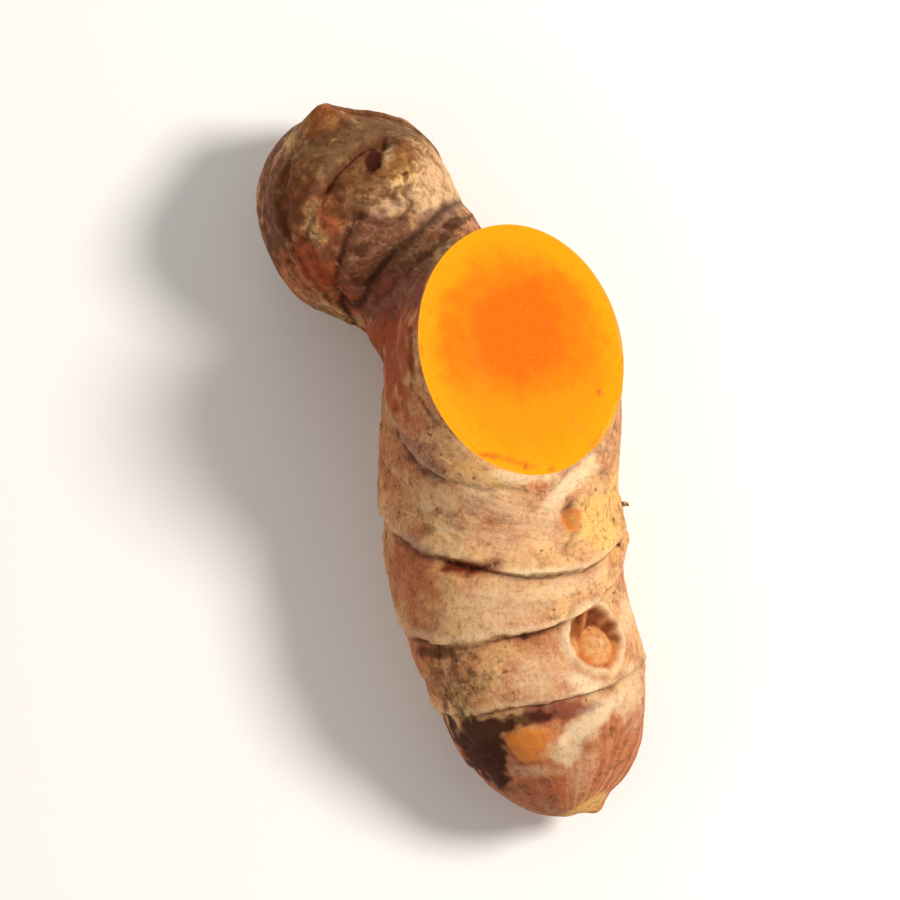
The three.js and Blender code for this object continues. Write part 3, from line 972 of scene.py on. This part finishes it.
def coated(tree, colour, coats):
    """A colour under coats of others. A coat is its colour, the most that it covers, and where it
    lies: by a mark, and if there is one by a pattern, from where the coat starts to where it is full.
    """
    for coat, most, mark, *edge in coats:
        if edge:
            reach = dict(zip(("Value", "From Min", "From Max"), edge))
            edge = node(tree, "MapRange", reach, interpolation_type="SMOOTHSTEP")
            mark = node(tree, "Math", {0: edge, 1: mark}, operation="MULTIPLY")
        share = node(tree, "Math", {0: mark, 1: most}, operation="MULTIPLY", use_clamp=True)
        mix = {0: share, MIX_UNDER: colour, MIX_OVER: coat}
        colour = node(tree, "Mix", mix, MIX_COLOUR, data_type="RGBA")
    return colour


def finished(material, inputs, gloss=None, bump=None):
    """Ends a material in its shader. The gloss is a noise and the roughness of its low and its high
    lumps, and the bump is a height, its strength and its depth in mm."""
    tree = material.node_tree
    if gloss:
        lumps, low, high = gloss
        reach = {"Value": lumps, "From Min": 0.3, "From Max": 0.7, "To Min": low, "To Max": high}
        inputs["Roughness"] = node(tree, "MapRange", reach)
    if bump:
        height, strength, depth = bump
        relief = {"Height": height, "Strength": strength, "Distance": depth * MM}
        inputs["Normal"] = node(tree, "Bump", relief)
    node(tree, "OutputMaterial", {"Surface": node(tree, "BsdfPrincipled", inputs)})
    return material


def skin_material(colours):
    """Fresh turmeric skin, a thin corky bark, washed: matt to faintly waxy, tan with a pink cast,
    grey-brown dust in blots and specks, dark leaf scars and orange bud hearts."""
    material, tree, place = new_material("washed_turmeric_skin")
    line, worn_lip_and_highlight, below, crease = kept_marks(tree, "scars")
    ring, heart, lid, _ = kept_marks(tree, "buds")
    red, pale, yellow, grey = kept_marks(tree, "tones")
    tip, dark, plum, _ = kept_marks(tree, "skins")

    # The skin's own ways, along the lobe and round it: straight, and drifting by about a millimetre.
    straight = node(tree, "UVMap", {}, uv_map="way")
    drift = node(tree, "TexNoise", {"Vector": place, "Scale": 1 / 2.2, "Detail": 2.0}, "Color")
    drift = node(tree, "VectorMath", {0: drift, "Scale": 1.1}, operation="SCALE")
    way = node(tree, "VectorMath", {0: straight, 1: drift}, operation="ADD")

    # Patches of 6.5 to 2.4 mm, blots, specks and pores. Fibres and streaks are long along the root,
    # and hoops are long round it.
    broad, patchy, warm, blots, pepper, fine, fibres, hoops, streaks = lumpy(
        tree,
        (place, 6.5, 2.0, 0.55),
        (place, 2.4, 4.0, 0.62),
        (place, 3.4, 4.0, 0.60),
        (place, 1.1, 4.0, 0.65),
        (place, 0.8, 1.5, 0.55),
        (place, 0.36, 3.0, 0.62),
        (way, 0.42, 3.0, 0.55, 6.5, 0.9, 1.0),
        (way, 0.9, 3.0, 0.55, 0.45, 5.0, 1.0),
        (straight, 1.3, 3.0, 0.60, 5.0, 1.0, 1.0),
    )

    # Pale threads and grit show where the skin is bare: not red, dusty or at the tip.
    tip_share, grey_share = summed(tree, 0.0, (tip, 0.8)), summed(tree, 0.0, (grey, 0.7))
    covered = node(tree, "Math", {0: tip_share, 1: grey_share}, operation="MAXIMUM")
    covered = node(tree, "Math", {0: red, 1: covered}, operation="MAXIMUM")
    bare = node(tree, "Math", {0: 1.0, 1: covered}, operation="SUBTRACT", use_clamp=True)
    cover = summed(tree, blots, (pale, -0.24), (grey, 0.34))
    grit = summed(tree, fine, (grey, 0.05))
    spots = summed(tree, pepper, (pale, -0.24), (grey, 0.10))
    flecks = {"Value": blots, "From Min": 0.35, "From Max": 0.6, "To Min": 0.55, "To Max": 1.55}
    flecks = node(tree, "MapRange", flecks, interpolation_type="SMOOTHSTEP")
    flecked_heart = node(tree, "Math", {0: heart, 1: flecks}, operation="MULTIPLY")
    coats = [
        # The bark's own colour, in patches a few millimetres wide.
        (colours.pink, 1.0, ALL_OVER, broad, 0.40, 0.62),
        (colours.ochre, 0.60, ALL_OVER, patchy, 0.46, 0.66),
        (colours.mauve, 0.42, ALL_OVER, patchy, 0.50, 0.34),
        (colours.rust, 0.28, ALL_OVER, warm, 0.52, 0.68),
        # The smooth skin of the tip, with streaks along it.
        (colours.tip_skin, 0.88, tip),
        (colours.ochre, 0.32, tip, streaks, 0.50, 0.66),
        (colours.mauve, 0.50, tip, streaks, 0.50, 0.36),
        # The tones that the photograph shows in patches, some of them painted highlights and painted
        # shade.
        (colours.russet, 0.92, red),
        (colours.pale, 0.85, pale),
        (colours.yellow, 0.80, yellow),
        (colours.plum, 0.72, plum),
        # Fine wrinkles: paler threads along the root and darker hoops round it.
        (colours.pale, 0.14, bare, fibres, 0.50, 0.70),
        (colours.russet, 0.18, ALL_OVER, fibres, 0.46, 0.28),
        (colours.bark, 0.16, ALL_OVER, hoops, 0.45, 0.28),
        # Dust: grey-brown blots that break up at their edges, grit in the pores, and spots.
        (colours.dust, 0.66, ALL_OVER, cover, 0.50, 0.80),
        (colours.bark, 0.40, ALL_OVER, cover, 0.72, 0.94),
        (colours.dust, 0.32, ALL_OVER, grit, 0.54, 0.70),
        (colours.pale, 0.30, bare, grit, 0.50, 0.34),
        (colours.dust, 0.70, ALL_OVER, spots, 0.66, 0.76),
        # The scars: a rubbed lip that is also a painted highlight, painted shade in red past the step
        # below it, and a dark broken line between them.
        (colours.pale, 0.42, worn_lip_and_highlight),
        (colours.russet, 0.45, below),
        # The same dark line paints the shade down the folds.
        (colours.scar, 0.90, line, blots, 0.28, 0.50),
        # The buds: pale lids, orange hearts, and dark grooves with painted shade in the eyes' hollows and
        # along the left edge of the other buds.
        (colours.pale, 0.46, lid),
        (colours.bud, 0.85, flecked_heart),
        (colours.russet, 0.85, ring),
        # Old dark scale, in places painted shade, and painted shade in the crease round the foot of the
        # knob.
        (colours.bark, 0.94, dark),
        (colours.scar, 0.75, crease),
    ]
    skin = {
        "Base Color": coated(tree, colours.tan, coats),
        "IOR": 1.45,
        "Specular IOR Level": 0.07,
        "Subsurface Weight": 0.05,
        "Subsurface Scale": 0.6 * MM,
    }
    height = summed(tree, 0.0, (fine, 0.55), (blots, 0.9), (fibres, 0.30), (hoops, 0.28))
    return finished(material, skin, gloss=(blots, 0.46, 0.76), bump=(height, 0.75, 0.22))


def flesh_material(colours):
    """Fresh cut turmeric flesh: moist and saturated, a deeper orange core inside a yellower outer
    ring, with the pores of the cut fibres and a thin painted highlight along its lower right edge."""
    material, tree, place = new_material("cut_turmeric_flesh")
    share, core, nicks, lit_edge = kept_marks(tree, "flesh")

    # Clouds of 4 mm, mottling of 1.3 mm, and the pores of fibres, drawn as coarse as they show.
    cloudy, mottle, pores = lumpy(
        tree,
        (place, 4.0, 3.0, 0.55),
        (place, 1.3, 3.0, 0.60),
        (place, 0.38, 2.0, 0.60),
    )
    wavy_core = summed(tree, core, (cloudy, 0.7), (mottle, 0.5))
    wavy_rim = summed(tree, share, (mottle, 0.3))
    edge = summed(tree, share, (mottle, 0.06))
    coats = [
        (colours.core, 1.0, ALL_OVER, wavy_core, 2.15, 1.15),
        (colours.rim, 1.0, ALL_OVER, wavy_rim, 0.85, 1.12),
        (colours.core, 0.30, ALL_OVER, pores, 0.56, 0.72),
        (colours.rim, 0.30, ALL_OVER, pores, 0.42, 0.28),
        # A painted highlight along the cut's lower right edge.
        (colours.yellow, 0.7, lit_edge, edge, 0.995, 1.02),
        (colours.russet, 0.75, nicks),
    ]
    flesh = {
        "Base Color": coated(tree, colours.flesh, coats),
        "IOR": 1.38,
        "Specular IOR Level": 0.12,
        "Subsurface Weight": 0.15,
        "Subsurface Scale": 1.0 * MM,
        "Subsurface Radius": (1.0, 0.45, 0.08),
    }
    height = summed(tree, 0.0, (pores, 0.6), (mottle, 0.7))
    return finished(material, flesh, gloss=(pores, 0.36, 0.56), bump=(height, 0.4, 0.12))


def rootlet_material(colours):
    """Dried rootlets: thin brittle threads, dull, dark brown streaked with straw."""
    material, tree, place = new_material("dried_rootlet")
    (streaks,) = lumpy(tree, (place, 0.4, 2.0, 0.55))
    colour = coated(tree, colours.bark, [(colours.tan, 1.0, ALL_OVER, streaks, 0.35, 0.65)])
    rootlet = {"Base Color": colour, "Roughness": 0.8, "IOR": 1.45, "Specular IOR Level": 0.3}
    return finished(material, rootlet, bump=(streaks, 0.4, 0.05))


def floor_material(colours):
    """A plain pale paper floor: matt and even."""
    material, _, _ = new_material("pale_paper")
    return finished(material, {"Base Color": colours.floor, "Roughness": 0.9})


def colour_property(name, description, hex_colour):
    """A colour that a user can change, its default given as sRGB hex."""
    default = (*linear(hex_colour), 1.0)
    settings = {"subtype": "COLOR", "size": 4, "min": 0.0, "max": 1.0}
    return bpy.props.FloatVectorProperty(name=name, description=description, default=default, **settings)


def length_property(name, description, millimetres):
    """A length that a user can change, its default given in mm."""
    settings = {"default": millimetres * MM, "unit": "LENGTH", "precision": 5}
    return bpy.props.FloatProperty(name=name, description=description, **settings)


# How wide the painted shade in the crease round the knob's foot is in mm, and the angle in degrees
# from which an edge stays sharp, as the rim of the cut does.
CREASE_SHADE_WIDTH = 0.5
SHARP_FROM = 62

# The floor's half width, the width of the view at the root's middle, and how much further back the
# camera stands, in metres.
FLOOR_REACH = 1.2
VIEW_WIDTH = 0.083
VIEW_BACK = 0.02


class TurmericSizes(bpy.types.PropertyGroup):
    lip_rise: length_property("Lip rise", "How far a leaf scar's edge stands proud", 0.46)
    step_drop: length_property("Step drop", "How far the skin sinks past a leaf scar", 0.62)
    grid_step: length_property("Grid step", "Spacing of the rows of the fine skin", 0.29)
    neck_blend: length_property("Neck blend", "Reach of the soft join of finger and shoulder", 5.0)
    knob_blend: length_property("Knob blend", "Reach of the tight join of knob and shoulder", 1.8)

    @property
    def joins(self):
        """The other lobes that each lobe flows into, and over what reach in mm."""
        soft, tight = self.neck_blend / MM, self.knob_blend / MM
        return {
            "finger": [(SHOULDER, soft), (KNOB, tight)],
            "shoulder": [(FINGER, soft), (KNOB, tight)],
            "knob": [(SHOULDER, tight), (FINGER, tight)],
        }


class TurmericColours(bpy.types.PropertyGroup):
    tan: colour_property("Tan", "The skin's main colour", "#d9a56d")
    pink: colour_property("Pink", "The skin's pinkish patches", "#cb8a60")
    ochre: colour_property("Ochre", "The skin's yellow-brown patches", "#dfb074")
    plum: colour_property("Plum", "Dull purplish skin of the neck and the knob", "#784a44")
    mauve: colour_property("Mauve", "The skin's darker red-brown patches", "#96522f")
    rust: colour_property("Rust", "Warm blotches under the bark", "#b86233")
    # Russet also paints shade: past the scars, on the left flank, in the eyes' hollows and under the tip.
    russet: colour_property("Russet", "Redder skin, and the grooves of the buds", "#9c3e1a")
    tip_skin: colour_property("Tip skin", "Smooth skin of the finger's tip", "#b9673f")
    # Pale also paints highlights, on the scar lips and in some patches.
    pale: colour_property("Pale", "Rubbed skin and scale edges", "#e8cca2")
    # Yellow also paints the highlight along the cut's lower right edge.
    yellow: colour_property("Yellow", "Young skin near buds", "#efba62")
    dust: colour_property("Dust", "Grey-brown dust and mottling", "#5a371b")
    # Bark also paints shade, in the eyes' hollows and some dark patches.
    bark: colour_property("Bark", "Old dark scale remains", "#350f04")
    # Scar also paints the shade down the folds and along the crease round the knob's foot.
    scar: colour_property("Scar", "The line of a leaf scar", "#2c1208")
    bud: colour_property("Bud", "The heart of a bud eye", "#cf7a33")
    flesh: colour_property("Flesh", "The cut flesh", "#f98a00")
    core: colour_property("Core", "The core of the cut flesh", "#f26400")
    rim: colour_property("Rim", "The outer ring of the cut flesh", "#fb9600")
    floor: colour_property("Floor", "The floor", "#f7f5f2")


class TURMERIC_OT_root(bpy.types.Operator):
    """Grows the root: finger, shoulder and knob as one skin, with its cut face"""

    bl_idname = "turmeric.root"
    bl_label = "Grow the root"

    def execute(self, context):
        sizes, colours = context.scene.turmeric_sizes, context.scene.turmeric_colours
        whole = united([lobe_mesh(lobe, sizes) for lobe in (FINGER, SHOULDER, KNOB)])
        points, edges = mesh_arrays(whole)
        corner, face = corners_and_faces(whole)
        number = np.empty(len(whole.polygons), dtype=np.int32)
        whole.attributes["lobe"].data.foreach_get("value", number)

        # The neck's seam is drawn smooth, and the knob's keeps its crease.
        soft = seam_distance(points, corner, number[face], [("finger", "shoulder")])
        tight = seam_distance(points, corner, number[face], [("knob", "shoulder"), ("knob", "finger")])
        points = relaxed(points, edges, smooth(2.6, 0.3, soft) * smooth(0.3, 1.5, tight), 30)
        points = relaxed(points, edges, smooth(0.7, 0.1, tight), 3)
        points[:, 2] = np.maximum(points[:, 2], 0.0)
        whole.vertices.foreach_set("co", (points * MM).ravel())
        # Painted shade: the skin darkens in a narrow band along the crease round the knob's foot.
        scars = np.empty(len(corner) * 4)
        whole.attributes["scars"].data.foreach_get("color", scars)
        scars[LAYERS["scars"].index("crease") :: 4] = bell(tight, 0, CREASE_SHADE_WIDTH)[corner]
        whole.attributes["scars"].data.foreach_set("color", scars)
        whole.attributes.remove(whole.attributes["lobe"])
        piece = hand_over(whole, "turmeric_root", [skin_material(colours), flesh_material(colours)])
        whole.polygons.foreach_set("material_index", (number == LOBE_NUMBER["cut face"]).astype(np.int32))
        whole.set_sharp_from_angle(angle=math.radians(SHARP_FROM))
        whole.update()
        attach(piece, "root")
        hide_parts(NODE)
        return {"FINISHED"}


class TURMERIC_OT_rootlets(bpy.types.Operator):
    """Adds the short dried rootlets that are left on some of the rootlet scars"""

    bl_idname = "turmeric.rootlets"
    bl_label = "Add rootlets"

    def execute(self, context):
        colours = context.scene.turmeric_colours
        draw = np.random.default_rng(SEED + 5)
        seats = [s for lobe in (FINGER, KNOB) for s in root_scars(lobe)]

        # Every third scar between 2.5 and 9 mm high keeps its rootlet, and one more stands by a ring.
        chosen = [s for s in seats if 2.5 < s[0][2] < 9.0][::3]
        chosen.append((*seat(FINGER, 20.4, 18.0), 1.2))
        sides, steps = 7, 9
        points, faces = [], []
        for centre, out, size in chosen:
            length = draw.uniform(0.7, 1.6)
            lean = unit(out + draw.normal(0, 0.35, 3))
            t = np.linspace(0, 1, steps)[:, None]
            path = centre - 0.4 * out + t * length * lean + t**2 * draw.normal(0, 0.35, 3)
            path[:, 2] = np.maximum(path[:, 2], 0.4)
            radius = 0.30 * size * (1 - 0.5 * t)
            across = unit(np.cross(lean, (0.3, 0.5, 0.81)))
            other = np.cross(lean, across)
            turn = np.linspace(0, 2 * np.pi, sides, endpoint=False)[None, :, None]
            tube = path[:, None] + radius[..., None] * (np.cos(turn) * across + np.sin(turn) * other)
            first = sum(len(p) for p in points)
            total = sides * steps
            points.append(np.vstack([tube.reshape(-1, 3), path[:1], path[-1:]]))
            faces += grid_faces(steps, sides, first).tolist()
            faces += fan_faces(first + total, first + np.arange(sides), True).tolist()
            faces += fan_faces(first + total + 1, first + np.arange(total - sides, total), False).tolist()
        mesh = bpy.data.meshes.new("rootlets")
        mesh.from_pydata((np.vstack(points) * MM).tolist(), [], faces)
        piece = hand_over(mesh, "dried_rootlets", [rootlet_material(colours)])
        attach(piece, "root")
        return {"FINISHED"}


class TURMERIC_OT_stage(bpy.types.Operator):
    """Sets a pale floor, soft studio light and the camera"""

    bl_idname = "turmeric.stage"
    bl_label = "Set the stage"

    def execute(self, context):
        scene = context.scene
        lo, hi = CAD_BOX
        centre = (lo + hi) / 2
        square = ((-1, -1), (1, -1), (1, 1), (-1, 1))
        corners = [(x * FLOOR_REACH, y * FLOOR_REACH, 0.0) for x, y in square]
        mesh = bpy.data.meshes.new("floor")
        mesh.from_pydata(corners, [], [(0, 1, 2, 3)])
        floor = hand_over(mesh, "floor", [floor_material(scene.turmeric_colours)])

        # The lamps' names, places, sizes, powers and colours.
        lamps = [
            ("key", (0.27, 0.04, 0.34), 0.12, 1.75, (1.0, 0.965, 0.91)),
            ("fill", (-0.38, -0.16, 0.22), 0.40, 0.32, (1.0, 0.84, 0.68)),
            ("back", (-0.05, 0.40, 0.26), 0.30, 0.16, (1.0, 0.97, 0.92)),
        ]
        for name, place, size, power, colour in lamps:
            lamp = bpy.data.lights.new(name, "AREA")
            lamp.shape = "DISK"
            lamp.size = size
            lamp.energy = power
            lamp.color = colour
            holder = bpy.data.objects.new(name, lamp)
            holder.location = place
            holder.rotation_mode = "QUATERNION"
            holder.rotation_quaternion = (centre - Vector(place)).to_track_quat("-Z", "Y")
            scene.collection.objects.link(holder)

        world = bpy.data.worlds.new("studio")
        world.use_nodes = True
        background = world.node_tree.nodes["Background"]
        background.inputs["Color"].default_value = (1.0, 1.0, 1.0, 1.0)
        background.inputs["Strength"].default_value = 0.40
        scene.world = world

        lens = bpy.data.cameras.new("camera")
        lens.lens = 250.0
        lens.sensor_width = 36.0
        tilt = math.radians(CAMERA_ELEVATION)
        distance = VIEW_WIDTH * lens.lens / lens.sensor_width + VIEW_BACK
        back = Vector((0.0, -math.cos(tilt), math.sin(tilt)))
        camera = bpy.data.objects.new("camera", lens)
        camera.location = centre + back * distance
        camera.rotation_mode = "QUATERNION"
        camera.rotation_quaternion = (-back).to_track_quat("-Z", "Y")
        lens.clip_start = 0.01
        scene.collection.objects.link(camera)
        scene.camera = camera
        scene.view_settings.view_transform = "Standard"
        return {"FINISHED"}


class TURMERIC_PT_panel(bpy.types.Panel):
    """Lists what the add-on makes, with its sizes and colours"""

    bl_idname = "TURMERIC_PT_panel"
    bl_label = "Turmeric root"
    bl_space_type = "VIEW_3D"
    bl_region_type = "UI"
    bl_category = "Turmeric"

    def draw(self, context):
        layout = self.layout
        for operator in OPERATORS:
            layout.operator(operator.bl_idname)
        for group in (context.scene.turmeric_sizes, context.scene.turmeric_colours):
            for name in group.__annotations__:
                layout.prop(group, name)


OPERATORS = (TURMERIC_OT_stage, TURMERIC_OT_root, TURMERIC_OT_rootlets)
CLASSES = (TurmericSizes, TurmericColours, *OPERATORS, TURMERIC_PT_panel)


def register():
    """Registers the classes and hangs the sizes and colours on the scene."""
    for cls in CLASSES:
        bpy.utils.register_class(cls)
    bpy.types.Scene.turmeric_sizes = bpy.props.PointerProperty(type=TurmericSizes)
    bpy.types.Scene.turmeric_colours = bpy.props.PointerProperty(type=TurmericColours)


def unregister():
    """Takes the sizes, colours and classes away again."""
    del bpy.types.Scene.turmeric_colours
    del bpy.types.Scene.turmeric_sizes
    for cls in reversed(CLASSES):
        bpy.utils.unregister_class(cls)


def main():
    """Makes everything in order."""
    register()
    bpy.ops.turmeric.stage()
    bpy.ops.turmeric.root()
    bpy.ops.turmeric.rootlets()


if __name__ == "__main__":
    main()
